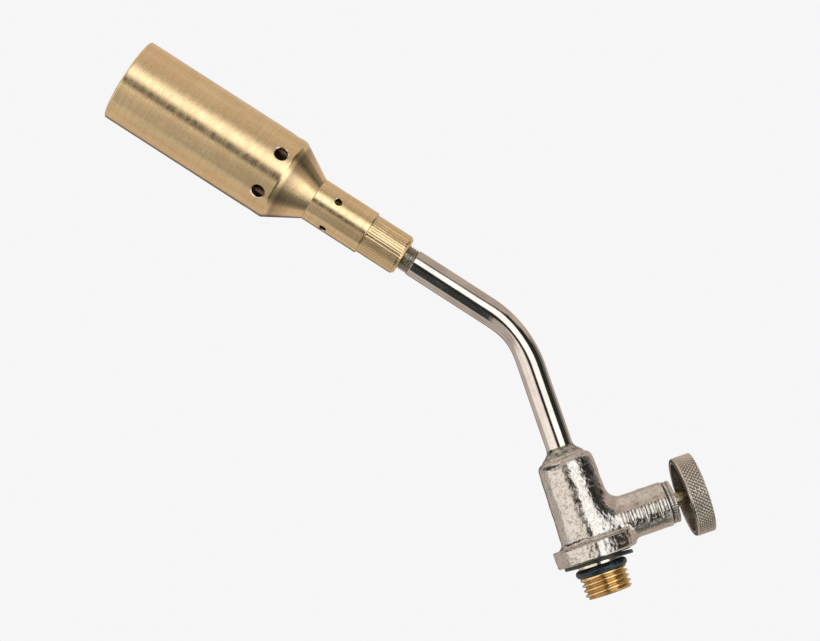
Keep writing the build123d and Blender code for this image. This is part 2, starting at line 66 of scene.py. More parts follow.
MM = 0.001
JOINT_GAP = 0.03                # left between the end faces of two pieces that touch
FIT_GAP = 0.05                  # left round a pressed joint

# --- Driving dimensions ---

CAMERA_PLACE = (-87.7, -755.9, 29.2)
CAMERA_AIM = (-29.3, 0.0, 82.6)
CAMERA_ROLL = 18.95             # degrees
CAMERA_LENS = 114.5
CAMERA_SENSOR = 36.0            # its width

FLOOR_DROP = 95.0               # below the inlet's end
FLOOR_R = 470.0

# Burner, measured along its axis from the shoulder of the tube's threaded end
FLAME_WALL = 1.0
MOUTH_STEP = 66.0
INNER_R = 11.6
CONE_END = 44.9
CONE_BORE_R = 5.2
CONE_BORE_DEEP = 4.3            # length of the bore that takes the neck
NECK_BORE_R = 5.0
AIR_HOLES = (6, 48.7, 2.0, -10.0)        # count, place along the burner, radius, degrees of the first
NECK_HOLES = (4, 27.6, 1.1, 21.0)
SPIGOT_R = 4.9
COLLAR_TEETH = 40
TOOTH_DEPTH = 0.07

# Tube
TUBE_R = 4.0
TUBE_BORE_R = 2.5
BEND_R = 34.0
BEND_FLATTEN = 0.75             # how far the inside of the bend is flattened
TUBE_THREAD_R = 3.9             # at the thread's crest
TUBE_PITCH = 0.75

# Valve body
FLANGE_THICK = 5.0
SHOULDER_Z = 27.3
ARM_FILLET = 3.6
FOOT_FILLET = 1.9
FLAT_CROWN = 0.018              # how much each flat of the flange bulges, per millimetre squared
ARM_R = 6.65
VOXEL = 0.2

# Plain raised bars on the side of the arm
MARK_COUNT = 7
MARK_START = 10.2               # from the barrel's axis
MARK_STEP = 2.1
MARK_HALF = 1.9                 # half of a bar's length, up and down the arm's side
MARK_SINK = 0.2                 # how far the bars' middle lies below the arm's
MARK_HEIGHT = 0.5

# Knob
KNURL_COUNT = 60
KNURL_DEPTH = 0.30
KNURL_STEPS = 10                # mesh columns to each groove

# Inlet
INLET_PITCH = 1.5
WASHER_DROP = 1.1               # how far the washer sags from the flange
WASHER_TURN = math.radians(48)  # the side where it drops, from +X towards +Y

# --- Axes, read from the frame ---

joints = {joint["name"]: joint for joint in frame["joints"]}


class Axis:
    """A straight axis that pieces are turned about, with its own x (side), y (across) and z (along)."""

    def __init__(self, origin, along, side):
        self.origin = np.array(origin, float)
        self.along = np.array(along, float)
        self.side = np.array(side, float)
        self.across = np.cross(self.along, self.side)

    def matrix(self):
        turned_to = Matrix(np.stack([self.side, self.across, self.along], axis=1).tolist()).to_4x4()
        return Matrix.Translation(Vector(self.origin * MM)) @ turned_to

    def place(self, along, radius, turn):
        return np.stack([radius * np.cos(turn), radius * np.sin(turn), along], axis=-1)

    def span(self, node):
        """(start, end, outer radius) of a CAD node about this axis."""
        points = np.array([v.co for v in frame["nodes"][node].data.vertices]) / MM - self.origin
        along = points @ self.along
        radius = np.linalg.norm(points - np.outer(along, self.along), axis=1)
        return along.min(), along.max(), radius.max()

    def crossing(self, along, degrees):
        """Axis through a point of this one, square to it and turned from its side."""
        turn = math.radians(degrees)
        out = math.cos(turn) * self.side + math.sin(turn) * self.across
        return Axis(self.origin + along * self.along, out, self.along)


lean = np.array(joints["burner_turn"]["axis"])
burner = Axis(np.array(joints["burner_turn"]["pos_m"]) / MM, lean, (lean[2], 0, -lean[0]))
arm = Axis(np.array(joints["knob_turn"]["pos_m"]) / MM, joints["knob_turn"]["axis"], (0, 0, 1))
inlet = Axis((0, 0, 0), (0, 0, 1), (1, 0, 0))


class BentPath:
    """The gas tube's centreline: up the inlet's axis, round the bend and on to the burner's axis.
    Distances along it are counted from the tube's threaded shoulder, so the tube lies below zero."""

    def __init__(self):
        self.bend = math.atan2(-burner.along[0], burner.along[2])
        to_corner = burner.origin[0] / burner.along[0]
        tangent = BEND_R * math.tan(self.bend / 2)
        self.bend_high = -(to_corner - tangent)
        self.bend_low = self.bend_high - BEND_R * self.bend
        self.low_z = burner.origin[2] - to_corner * burner.along[2] - tangent

    def matrix(self):
        return Matrix.Identity(4)

    def place(self, along, radius, turn):
        angle = np.clip((along - self.bend_low) / BEND_R, 0, self.bend)
        squeeze = BEND_FLATTEN * np.sin(np.pi * angle / self.bend) ** 2 * radius / TUBE_R
        sine, cosine = np.sin(angle), np.cos(angle)
        before = np.minimum(along - self.bend_low, 0)
        straight = np.where(along > self.bend_high, along - self.bend_high, before)
        x = -BEND_R + BEND_R * cosine - straight * sine
        z = self.low_z + BEND_R * sine + straight * cosine
        out = radius * np.cos(turn) + squeeze * np.clip(-np.cos(turn), 0, 1) ** 1.5
        across = radius * np.sin(turn) * (1 + 0.03 * squeeze)
        return np.stack([x + out * cosine, across, z + out * sine], axis=-1)


# --- Mesh tools ---

ROUND_SHARE = 0.4               # the most of a side that one corner's rounding takes
GUARD_REACH = 1.8               # a guard point's distance from its corner, in sizes of the rounding
GUARD_SHARE = 0.48              # the most of a side that it takes
FLAT_TWIST = 0.02               # a face whose corners' radii disagree by less than this stays whole


def smooth(x, low, high):
    """0 below low and 1 above high, with a smooth step between."""
    t = np.clip((x - low) / (high - low), 0, 1)
    return t * t * (3 - 2 * t)


def toward(here, there, reach, share):
    """The point at a reach from here towards there, or at a share of the way if that is nearer."""
    way = there - here
    return here + way * min(reach / np.linalg.norm(way), share)


def eased(corners, steps=4):
    """Outline from corners (along, radius, size), each rounded over its size, with a guard point on either
    side that keeps the shading of the long faces flat."""
    outline = []
    for i, (along, radius, size) in enumerate(corners):
        here = np.array((along, radius))
        if size == 0:
            outline.append((along, radius))
            continue
        beside = [np.array(corners[j][:2]) for j in (i - 1, (i + 1) % len(corners))]
        start, end = (toward(here, there, size, ROUND_SHARE) for there in beside)
        guards = [toward(here, there, GUARD_REACH * size, GUARD_SHARE) for there in beside]
        outline.append(tuple(guards[0]))
        for t in np.linspace(0, 1, steps + 1):
            outline.append(tuple((1 - t) ** 2 * start + 2 * t * (1 - t) * here + t * t * end))
        outline.append(tuple(guards[1]))
    return outline


def filled(outline, step, inside, start=-1e9, end=1e9):
    """The outline with points at most step apart where it lies outside a radius, between start and end."""
    points = []
    for here, there in zip(outline, outline[1:] + outline[:1]):
        points.append(here)
        length = math.dist(here, there)
        middle = (here[0] + there[0]) / 2
        if min(here[1], there[1]) > inside and start < middle < end and length > step:
            count = math.ceil(length / step)
            for i in range(1, count):
                points.append(tuple(np.array(here) + (np.array(there) - np.array(here)) * i / count))
    return points


def make(name, points, faces, matrix=None):
    """A closed, smooth-shaded mesh object from points in millimetres."""
    mesh = bpy.data.meshes.new(name)
    mesh.from_pydata((np.asarray(points) * MM).tolist(), [], faces)
    shape = bmesh.new()
    shape.from_mesh(mesh)
    bmesh.ops.remove_doubles(shape, verts=shape.verts, dist=1e-7)
    bmesh.ops.recalc_face_normals(shape, faces=shape.faces)
    shape.to_mesh(mesh)
    shape.free()
    mesh.shade_smooth()
    piece = bpy.data.objects.new(name, mesh)
    bpy.context.scene.collection.objects.link(piece)
    piece.matrix_world = matrix or Matrix.Identity(4)
    return piece


def turned(name, axis, outline, columns, relief=None, shape=None, split=False):
    """A closed piece turned about an axis from its outline of (along, radius) points.
    relief(along, radius, turn) is how far each point stands out, and shape moves the finished points."""
    rows = len(outline)
    along, radius = np.array(outline, float).T
    turn = 2 * np.pi * np.arange(columns) / columns
    u = np.repeat(along[:, None], columns, axis=1)
    r = np.repeat(radius[:, None], columns, axis=1)
    t = np.repeat(turn[None, :], rows, axis=0)
    if relief:
        r = r + relief(u, r, t)
    points = axis.place(u, r, t).reshape(-1, 3)
    if shape:
        points = shape(points)
    return make(name, points, ring_faces(r, split), axis.matrix())


def ring_faces(r, split):
    """Faces between rings of points. With split, a face whose corners' radii disagree is cut in two along its
    lower diagonal."""
    rows, columns = r.shape
    faces = []
    for i in range(rows):
        j = (i + 1) % rows
        twist = r[i] + np.roll(r[j], -1) - np.roll(r[i], -1) - r[j]
        for k in range(columns):
            m = (k + 1) % columns
            a, b, c, d = i * columns + k, i * columns + m, j * columns + m, j * columns + k
            if not split or abs(twist[k]) < FLAT_TWIST:
                faces.append((a, b, c, d))
            elif twist[k] < 0:
                faces += [(a, b, c), (a, c, d)]
            else:
                faces += [(a, b, d), (b, c, d)]
    return faces


def joined(pieces):
    """One object from several, with no change to their shapes, in the first one's material."""
    shape = bmesh.new()
    materials = list(pieces[0].data.materials)
    for piece in pieces:
        mesh = piece.data.copy()
        mesh.transform(piece.matrix_world)
        shape.from_mesh(mesh)
        bpy.data.meshes.remove(mesh)
        bpy.data.objects.remove(piece)
    mesh = bpy.data.meshes.new("joined")
    shape.to_mesh(mesh)
    for material in materials:
        mesh.materials.append(material)
    shape.free()
    whole = bpy.data.objects.new("joined", mesh)
    bpy.context.scene.collection.objects.link(whole)
    return whole


def apply(piece):
    """Replaces a piece's mesh with what its modifiers make of it."""
    depsgraph = bpy.context.evaluated_depsgraph_get()
    depsgraph.update()
    piece.data = bpy.data.meshes.new_from_object(piece.evaluated_get(depsgraph))
    piece.modifiers.clear()


def cut(piece, cutters, outside, crease=32):
    """Cuts the cutters' shapes out of a piece. The cuts keep the cutters' materials, a piece that has none
    yet takes the outside one, and edges sharper than crease degrees are marked."""
    if not piece.data.materials:
        piece.data.materials.append(outside)
    cutter = joined(cutters)
    modifier = piece.modifiers.new("cut", "BOOLEAN")
    modifier.operation = "DIFFERENCE"
    modifier.solver = "EXACT"
    modifier.material_mode = "TRANSFER"
    modifier.object = cutter
    apply(piece)
    bpy.data.objects.remove(cutter)
    piece.data.shade_smooth()
    piece.data.set_sharp_from_angle(angle=math.radians(crease))


def drill(axis, start, end, radius, flare_from=None, flare=0.0, columns=48):
    """A cutter for a round hole, wider by flare where it breaks the surface. Its second material, on the
    flared rim, is a painted highlight."""
    outline = [(start, 0.0), (start, radius), (end, radius), (end, 0.0)]
    if flare_from is not None:
        outline[2:2] = [(flare_from, radius), (flare_from + 2 * flare, radius + 2 * flare)]
        outline[4] = (end, radius + 2 * flare)
    cutter = turned("cutter", axis, outline, columns)
    cutter.data.materials.append(bored_metal)
    cutter.data.materials.append(painted_rim_highlight)
    for face in cutter.data.polygons:
        out = math.hypot(face.center.x, face.center.y) / MM
        face.material_index = 1 if flare and out > radius + 0.1 * flare else 0
    return cutter


def waves(points, size, seed, count=44):
    """A smooth random field, about -1 to 1, whose bumps are about size apart."""
    random = np.random.default_rng(seed)
    field = np.zeros(len(points))
    for _ in range(count):
        way = random.normal(size=3)
        way *= 2 * np.pi / (size * random.uniform(0.75, 1.6)) / np.linalg.norm(way)
        field += np.sin(points @ way + random.uniform(0, 2 * np.pi))
    return field / math.sqrt(count)


def dress(piece, body, material, node):
    """Gives a finished piece its body, a material if it has none, and hides the CAD node that it stands for."""
    if not piece.data.materials:
        piece.data.materials.append(material)
    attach(piece, body)
    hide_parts(node)


# --- Material tools ---


class Nodes:
    """Adds nodes to a tree. A socket takes a number, a colour or another node's output."""

    def __init__(self, tree):
        self.tree = tree

    def set(self, node, socket, value):
        target = node.inputs[socket]
        if isinstance(value, bpy.types.NodeSocket):
            self.tree.links.new(value, target)
        elif isinstance(value, tuple) and target.type == "RGBA":
            target.default_value = (*value, 1)
        else:
            target.default_value = value

    def add(self, kind, inputs, output=0, **settings):
        node = self.tree.nodes.new("ShaderNode" + kind)
        for name, value in settings.items():
            setattr(node, name, value)
        for socket, value in inputs.items():
            self.set(node, socket, value)
        return node.outputs[output]

    def math(self, operation, first, second=0.0):
        return self.add("Math", {0: first, 1: second}, operation=operation)

    def ramp(self, value, low, high, to_low=0.0, to_high=1.0):
        return self.add("MapRange", {"Value": value, "From Min": low, "From Max": high,
                                     "To Min": to_low, "To Max": to_high}, interpolation_type="SMOOTHSTEP")

    def blend(self, share, first, second, strength=1.0):
        """A colour between two, by a share from 0 to 1 and at most strength."""
        if strength != 1.0:
            share = self.math("MULTIPLY", share, strength)
        return self.add("Mix", {0: share, 6: first, 7: second}, 2, data_type="RGBA")


class Surface(Nodes):
    """A node material on the Principled shader."""

    def __init__(self, name, **values):
        self.material = bpy.data.materials.new(name)
        self.material.use_nodes = True
        super().__init__(self.material.node_tree)
        self.shader = self.tree.nodes["Principled BSDF"]
        self.where = self.add("TexCoord", {}, "Object")
        self.finish(**values)

    def stretched(self, scale):
        """Object coordinates in millimetres, scaled along each axis."""
        return self.add("Mapping", {"Vector": self.where, "Scale": tuple(s / MM for s in scale)})

    def noise(self, size, scale=(1, 1, 1), detail=3.0, roughness=0.5, offset=0.0):
        """Noise about 0.5, with features about size millimetres across."""
        vector = self.stretched(tuple(s / size for s in scale))
        if offset:
            vector = self.add("VectorMath", {0: vector, 1: (offset, offset, offset)}, operation="ADD")
        inputs = {"Vector": vector, "Scale": 1.0, "Detail": detail, "Roughness": roughness}
        return self.add("TexNoise", inputs)

    def cells(self, size):
        """Distance to the nearest of scattered points, about size millimetres apart."""
        vector = self.stretched((1 / size, 1 / size, 1 / size))
        return self.add("TexVoronoi", {"Vector": vector, "Scale": 1.0})

    def radius(self):
        """Distance from the piece's own z axis, in millimetres."""
        flat = self.add("Mapping", {"Vector": self.where, "Scale": (1 / MM, 1 / MM, 0)})
        return self.add("VectorMath", {0: flat}, "Value", operation="LENGTH")

    def along(self):
        """Distance along the piece's own z axis, in millimetres."""
        return self.math("MULTIPLY", self.add("SeparateXYZ", {0: self.where}, "Z"), 1 / MM)

    def bump(self, height, millimetres, normal=None):
        inputs = {"Height": height, "Strength": 1.0, "Distance": millimetres * MM}
        if normal is not None:
            inputs["Normal"] = normal
        return self.add("Bump", inputs, "Normal")

    def clouded(self, tint, pattern, rough, normal):
        """Finishes with a roughness that follows a pattern from one value to another."""
        return self.finish(Base_Color=tint, Roughness=self.ramp(pattern, 0.3, 0.7, *rough), Normal=normal)

    def finish(self, **values):
        """Sets the shader's sockets, and gives the material."""
        for socket, value in values.items():
            self.set(self.shader, socket.replace("_", " "), value)
        return self.material


def wear(surface, low=0.51, high=0.58):
    """1 on convex edges, where plating and patina rub thin."""
    return surface.ramp(surface.add("NewGeometry", {}, "Pointiness"), low, high)


def turned_brass(name, grain, stain):
    """Satin brass with the fine marks of the tool, slight tarnish and dull specks. grain scales the marks'
    noise along each axis, so that they run round the piece or along it, and stain is their colour."""
    s = Surface(name, Metallic=1.0, Anisotropic=0.6, Anisotropic_Rotation=0.25)
    tangent = s.add("Tangent", {}, direction_type="RADIAL", axis="Z")
    rings = s.noise(0.45, grain, roughness=0.6)
    wide_rings = s.noise(2.2, (0.02, 0.02, 1.0), detail=2.0)
    cloud = s.noise(9.0, detail=4.0, offset=7.0)
    mottle = s.noise(0.9, detail=4.0, roughness=0.65, offset=3.0)
    tint = s.blend(s.ramp(cloud, 0.35, 0.68), (0.90, 0.715, 0.425), (0.97, 0.785, 0.475))
    tint = s.blend(s.ramp(rings, 0.42, 0.7, 0.0, 0.45), tint, stain)
    tint = s.blend(s.ramp(mottle, 0.5, 0.72, 0.0, 0.4), tint, (0.62, 0.48, 0.26))
    tint = s.blend(s.ramp(s.noise(6.0, offset=12.0), 0.45, 0.65, 0.0, 0.35), tint, (0.93, 0.67, 0.40))
    tint = s.blend(wear(s), tint, (0.97, 0.80, 0.52), 0.6)
    inside = s.ramp(s.radius(), INNER_R + 0.1, INNER_R + 0.8, 1.0, 0.0)
    chamber = s.ramp(s.along(), 36.0, 47.0)
    tint = s.blend(s.math("MULTIPLY", inside, chamber), tint, (0.16, 0.10, 0.075), 0.8)
    rough = s.ramp(s.math("ADD", mottle, wide_rings), 0.7, 1.3, 0.20, 0.30)
    normal = s.bump(s.noise(0.75, detail=4.0, roughness=0.6, offset=5.0), 0.011, s.bump(rings, 0.003))
    return s.finish(Base_Color=tint, Roughness=rough, Normal=normal, Tangent=tangent)


def bright_brass():
    """Freshly cut brass, darker in the inlet's thread, with a painted highlight on the stem above it."""
    s = Surface("bright_brass", Metallic=1.0)
    rings = s.noise(0.2, (0.02, 0.02, 1.0), detail=4.0, roughness=0.7)
    cloud = s.noise(3.0, detail=4.0)
    tint = s.blend(s.ramp(cloud, 0.35, 0.65), (0.86, 0.62, 0.28), (0.97, 0.78, 0.44))
    groove = s.ramp(s.radius(), 6.1, 6.8, 1.0, 0.0)
    threaded = s.ramp(s.along(), -4.9, -5.6)
    tint = s.blend(s.math("MULTIPLY", groove, threaded), tint, (0.46, 0.30, 0.13), 0.65)
    # The stem above the seal is painted paler: a painted highlight.
    painted_stem_highlight = s.ramp(s.along(), -2.6, -2.2)
    tint = s.blend(painted_stem_highlight, tint, (0.86, 0.80, 0.62))
    tint = s.blend(wear(s), tint, (1.0, 0.90, 0.64), 0.6)
    return s.clouded(tint, cloud, (0.16, 0.3), s.bump(rings, 0.005))


def nickel_plate():
    """Polished nickel, warm in tone, with faint waves and dull flecks in the plating."""
    s = Surface("tube_plate", Metallic=1.0)
    cloud = s.noise(6.0)
    flecks = s.ramp(s.noise(0.55, roughness=0.65, offset=4.0), 0.60, 0.72)
    tint = s.blend(s.ramp(cloud, 0.35, 0.65), (0.62, 0.585, 0.545), (0.72, 0.69, 0.65))
    tint = s.blend(flecks, tint, (0.42, 0.41, 0.38), 0.4)
    rough = s.math("ADD", s.ramp(cloud, 0.3, 0.7, 0.05, 0.1), s.math("MULTIPLY", flecks, 0.2))
    ripple = s.bump(s.noise(2.6, detail=2.0, offset=2.0), 0.012)
    grain = s.bump(s.noise(0.45), 0.0045, ripple)
    return s.finish(Base_Color=tint, Roughness=rough, Normal=grain)


def cast_nickel():
    """Nickel over a sand casting: bright, pitted and mottled, with grey in the hollows."""
    s = Surface("cast_nickel", Metallic=1.0)
    cloud = s.noise(3.5, detail=4.0)
    hollow = s.ramp(s.add("NewGeometry", {}, "Pointiness"), 0.40, 0.5, 1.0, 0.0)
    mottle = s.noise(0.95, detail=4.0, roughness=0.65, offset=8.0)
    tint = s.blend(s.ramp(cloud, 0.35, 0.65), (0.61, 0.585, 0.545), (0.71, 0.685, 0.645))
    tint = s.blend(s.ramp(mottle, 0.46, 0.66, 0.0, 0.7), tint, (0.33, 0.32, 0.29))
    tint = s.blend(hollow, tint, (0.20, 0.19, 0.16), 0.65)
    rough = s.math("ADD", s.ramp(cloud, 0.3, 0.7, 0.12, 0.22), s.math("MULTIPLY", hollow, 0.2))
    grain = s.bump(s.noise(0.65, roughness=0.6), 0.058)
    normal = s.bump(s.noise(1.3, offset=6.0), 0.040, grain)
    return s.finish(Base_Color=tint, Roughness=rough, Normal=normal)


def knurled_nickel():
    """Dull plated knob metal, darkened almost to black at the bottom of the knurl."""
    s = Surface("knurled_nickel", Metallic=1.0)
    cloud = s.noise(4.0, detail=4.0)
    tint = s.blend(s.ramp(cloud, 0.35, 0.65), (0.58, 0.545, 0.48), (0.74, 0.705, 0.645))
    knob_r = arm.span("control_knob")[2]
    groove = s.ramp(s.radius(), knob_r - KNURL_DEPTH, knob_r - 0.3 * KNURL_DEPTH, 1.0, 0.0)
    band = s.ramp(s.radius(), knob_r - 1.2, knob_r - 0.7)
    tint = s.blend(s.math("MULTIPLY", groove, band), tint, (0.07, 0.06, 0.045), 0.92)
    tint = s.blend(wear(s, 0.53, 0.62), tint, (0.93, 0.89, 0.82), 0.8)
    return s.clouded(tint, cloud, (0.24, 0.38), s.bump(s.noise(0.3, detail=4.0), 0.012))


def painted_recess_shade():
    """The knob's recess, coloured black-brown as painted shade, with the turning marks still there."""
    s = Surface("painted_recess_shade", Metallic=1.0)
    rings = s.noise(0.5, (1.0, 1.0, 0.2))
    tint = s.blend(s.ramp(rings, 0.3, 0.7), (0.025, 0.024, 0.02), (0.13, 0.125, 0.105))
    return s.clouded(tint, rings, (0.3, 0.5), s.bump(rings, 0.02))


def machined_metal(name, tint, rough):
    """Plain machined metal, clouded and with a fine uneven grain."""
    s = Surface(name, Metallic=1.0)
    cloud = s.noise(1.2, detail=4.0)
    shade = tuple(0.7 * c for c in tint)
    tint = s.blend(s.ramp(cloud, 0.35, 0.65), shade, tint)
    return s.clouded(tint, cloud, (rough - 0.08, rough + 0.08), s.bump(s.noise(0.35, roughness=0.6), 0.012))


def braze_metal():
    """Lumpy grey-green braze metal under thin plate."""
    s = Surface("braze_metal", Metallic=1.0)
    cloud = s.noise(1.6, detail=5.0, roughness=0.6)
    tint = s.blend(s.ramp(cloud, 0.35, 0.65), (0.16, 0.18, 0.15), (0.58, 0.58, 0.52))
    return s.clouded(tint, cloud, (0.22, 0.42), s.bump(s.noise(0.5, detail=4.0), 0.05, s.bump(cloud, 0.06)))


def rubber(name, dark, light, rough):
    """Moulded rubber with a fine skin and a little bloom."""
    s = Surface(name, Specular_IOR_Level=0.5)
    cloud = s.noise(2.0, detail=4.0)
    tint = s.blend(s.ramp(cloud, 0.35, 0.7), dark, light)
    normal = s.bump(s.noise(0.22), 0.012, s.bump(s.noise(1.5, offset=3.0), 0.03))
    return s.clouded(tint, cloud, (rough - 0.07, rough + 0.1), normal)


def fibre_board():
    """Pressed red fibre, for the washer that seals the tube's end."""
    s = Surface("fibre_board")
    strands = s.noise(0.5, (1.0, 1.0, 3.0), detail=4.0, roughness=0.65)
    tint = s.blend(s.ramp(strands, 0.3, 0.7), (0.28, 0.10, 0.06), (0.46, 0.20, 0.13))
    return s.clouded(tint, strands, (0.6, 0.8), s.bump(strands, 0.03))


def sintered_bronze():
    """Bronze grains pressed into a filter."""
    s = Surface("sintered_bronze", Metallic=1.0)
    grains = s.cells(0.3)
    tint = s.blend(s.ramp(grains, 0.1, 0.6), (0.66, 0.45, 0.24), (0.20, 0.12, 0.06))
    rough = s.ramp(grains, 0.1, 0.6, 0.35, 0.6)
    return s.finish(Base_Color=tint, Roughness=rough, Normal=s.bump(grains, -0.06))


def zinc_screw():
    """Bright zinc, a little scuffed."""
    s = Surface("zinc_screw", Metallic=1.0)
    scuffs = s.noise(0.6, detail=5.0, roughness=0.7)
    tint = s.blend(s.ramp(scuffs, 0.35, 0.7), (0.62, 0.63, 0.65), (0.84, 0.84, 0.85))
    tint = s.blend(wear(s), tint, (0.97, 0.97, 0.97), 0.6)
    return s.clouded(tint, scuffs, (0.2, 0.4), s.bump(scuffs, 0.01))


def scorched_brass():
    """Brass inside the burner, browned and blued by the flame."""
    s = Surface("scorched_brass", Metallic=1.0)
    cloud = s.noise(3.0, detail=5.0, roughness=0.6)
    tint = s.blend(s.ramp(cloud, 0.3, 0.6), (0.22, 0.14, 0.08), (0.46, 0.32, 0.17))
    tint = s.blend(s.ramp(s.noise(5.0, offset=4.0), 0.55, 0.7, 0.0, 0.6), tint, (0.16, 0.19, 0.27))
    return s.clouded(tint, cloud, (0.28, 0.5), s.bump(cloud, 0.02))


brass = turned_brass("turned_brass", (0.04, 0.04, 1.0), (0.70, 0.55, 0.29))
serrated_brass = turned_brass("serrated_brass", (1.2, 1.2, 0.06), (0.40, 0.36, 0.13))
cut_brass = bright_brass()
tube_plate = nickel_plate()
cast_plate = cast_nickel()
knob_plate = knurled_nickel()
recess_painted_shade = painted_recess_shade()
bored_metal = machined_metal("bored_metal", (0.50, 0.44, 0.34), 0.35)
thread_steel = machined_metal("thread_steel", (0.50, 0.48, 0.42), 0.22)
dull_brass = machined_metal("dull_brass", (0.62, 0.56, 0.36), 0.27)
# A pale brass for the flared rims of the burner's holes: a painted highlight.
painted_rim_highlight = machined_metal("painted_rim_highlight", (1.0, 0.93, 0.76), 0.35)
braze = braze_metal()
oring_rubber = rubber("oring_rubber", (0.006, 0.016, 0.024), (0.030, 0.060, 0.080), 0.27)
washer_rubber = rubber("washer_rubber", (0.010, 0.018, 0.020), (0.035, 0.058, 0.064), 0.38)
ring_plate = machined_metal("ring_plate", (0.72, 0.69, 0.63), 0.24)
fibre = fibre_board()
bronze = sintered_bronze()
zinc = zinc_screw()
scorched = scorched_brass()

# --- Burner ---


def ring_of_drills(holes, start, surface_r, flare):
    """Cutters for a ring of holes round the burner, each from a radius of start out through the surface."""
    count, along, radius, first = holes
    cutters = []
    for i in range(count):
        out = burner.crossing(along, first + 360 * i / count)
        cutters.append(drill(out, start, surface_r + 2, radius, surface_r - flare, flare))
    return cutters


def flame_tube():
    start, end, outer = burner.span("flame_tube")
    neck_r = burner.span("mixer_neck")[2]
    mouth_r = outer - FLAME_WALL
    outline = eased([
        (start, CONE_BORE_R, 0),
        (start, neck_r - FIT_GAP, 0.12),
        (CONE_END, outer, 0.25),
        (end, outer, 0.42),
        (end, mouth_r, 0.2),
        (MOUTH_STEP, mouth_r, 0.1),
        (MOUTH_STEP, INNER_R, 0.1),
        (CONE_END + 1.2, INNER_R, 0.4),
        (start + CONE_BORE_DEEP, CONE_BORE_R, 0),
    ])
    outline = filled(outline, step=1.5, inside=11.0)
    piece = turned("flame_tube_turned", burner, outline, 240)
    cut(piece, ring_of_drills(AIR_HOLES, start=9.5, surface_r=outer, flare=0.36), brass)
    dress(piece, "burner", brass, "flame_tube")


def mixer_neck():
    start, end, outer = burner.span("mixer_neck")
    step = burner.span("flame_tube")[0]
    nozzle = burner.span("mixing_nozzle")[0]
    nozzle_r = 3.6
    outline = eased([
        (start, NECK_BORE_R, 0),
        (start, outer, 0.32),
        (step - JOINT_GAP, outer, 0.1),
        (step - JOINT_GAP, CONE_BORE_R - FIT_GAP, 0),
        (end, CONE_BORE_R - FIT_GAP, 0.1),
        (end, nozzle_r, 0),
        (nozzle - 0.3, nozzle_r, 0),
        (nozzle - 1.5, NECK_BORE_R, 0),
    ])
    outline = filled(outline, step=1.0, inside=4.5)
    piece = turned("mixer_neck_turned", burner, outline, 200)
    cut(piece, ring_of_drills(NECK_HOLES, start=3.9, surface_r=outer, flare=0.26), brass)
    dress(piece, "burner", brass, "mixer_neck")


def burner_collar():
    start, end, outer = burner.span("burner_collar")
    neck = burner.span("mixer_neck")[0]
    thread_r = TUBE_THREAD_R + 0.15
    seat = burner.span("jet_seal")[1] + JOINT_GAP
    bore = burner.span("jet")[2] * 0.75

    def serrations(along, radius, turn):
        """Shallow straight grooves, some deeper than others, which fade out at both ends."""
        groove = (0.5 - 0.5 * np.cos(COLLAR_TEETH * turn)) ** 5
        uneven = 1 + 0.45 * np.sin(7 * turn + 1.0) + 0.3 * np.sin(13 * turn)
        uneven += 0.15 * np.sin(0.6 * along + 5 * turn)
        ends = smooth(along, start + 0.15, start + 1.1) * smooth(along, neck - 0.1, neck - 0.45)
        return np.where(radius > outer - 1.2, -TOOTH_DEPTH * uneven * groove * ends, 0.0)

    outline = eased([
        (start, thread_r, 0.3),
        (start, outer - 0.75, 0.25),
        (start + 0.9, outer, 0.3),
        (neck - JOINT_GAP, outer, 0.1),
        (neck - JOINT_GAP, SPIGOT_R, 0),
        (end, SPIGOT_R, 0.1),
        (end, bore, 0),
        (seat, bore, 0),
        (seat, thread_r, 0),
    ])
    outline = filled(outline, step=0.45, inside=outer - 0.9, start=start, end=neck)
    piece = turned("burner_collar_serrated", burner, outline, COLLAR_TEETH * 12, serrations)
    dress(piece, "burner", serrated_brass, "burner_collar")


flame_tube()
mixer_neck()
burner_collar()

# --- Tube and braze ---


def thread(pitch, crest_r, start, end, fade):
    """Relief of a right-hand V thread between start and end, running out at both ends."""
    depth = 0.6 * pitch
    half_groove, flank = 0.38, 0.31     # in pitches

    def relief(along, radius, turn):
        phase = (along / pitch - turn / (2 * np.pi)) % 1.0
        valley = np.clip((half_groove - np.abs(phase - 0.5)) / flank, 0, 1)
        run_out = smooth(along, start, start + fade) * smooth(along, end, end - fade)
        groove = crest_r - depth * valley * run_out
        threaded = (radius > crest_r - depth) & (along > start) & (along < end)
        return np.where(threaded, np.minimum(groove - radius, 0), 0)

    return relief


def bent_tube():
    path = BentPath()
    foot = path.bend_low - (path.low_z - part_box("bent_tube")[0].z / MM)
    end = burner.span("bent_tube")[1]
    outline = eased([
        (foot, TUBE_BORE_R, 0),
        (foot, TUBE_R, 0.2),
        (-0.05, TUBE_R, 0.12),
        (0.0, TUBE_THREAD_R, 0.02),
        (end, TUBE_THREAD_R, 0.3),
        (end, TUBE_BORE_R, 0),
    ])
    outline = filled(outline, step=0.9, inside=3.95, start=foot, end=0)
    outline = filled(outline, step=0.055, inside=3.5, start=0, end=12)
    inner = [(u, TUBE_BORE_R) for u in np.arange(end - 3, foot, -3.0)]
    piece = turned("bent_tube_threaded", path, outline + inner, 96,
                   thread(TUBE_PITCH, TUBE_THREAD_R, 0.02, end + 0.5, fade=0.3), split=True)
    piece.data.materials.append(tube_plate)
    piece.data.materials.append(thread_steel)
    for face in piece.data.polygons:
        beyond = (np.array(face.center) / MM - burner.origin) @ burner.along
        face.material_index = 1 if beyond > 0.01 else 0
    dress(piece, "torch_body", tube_plate, "bent_tube")


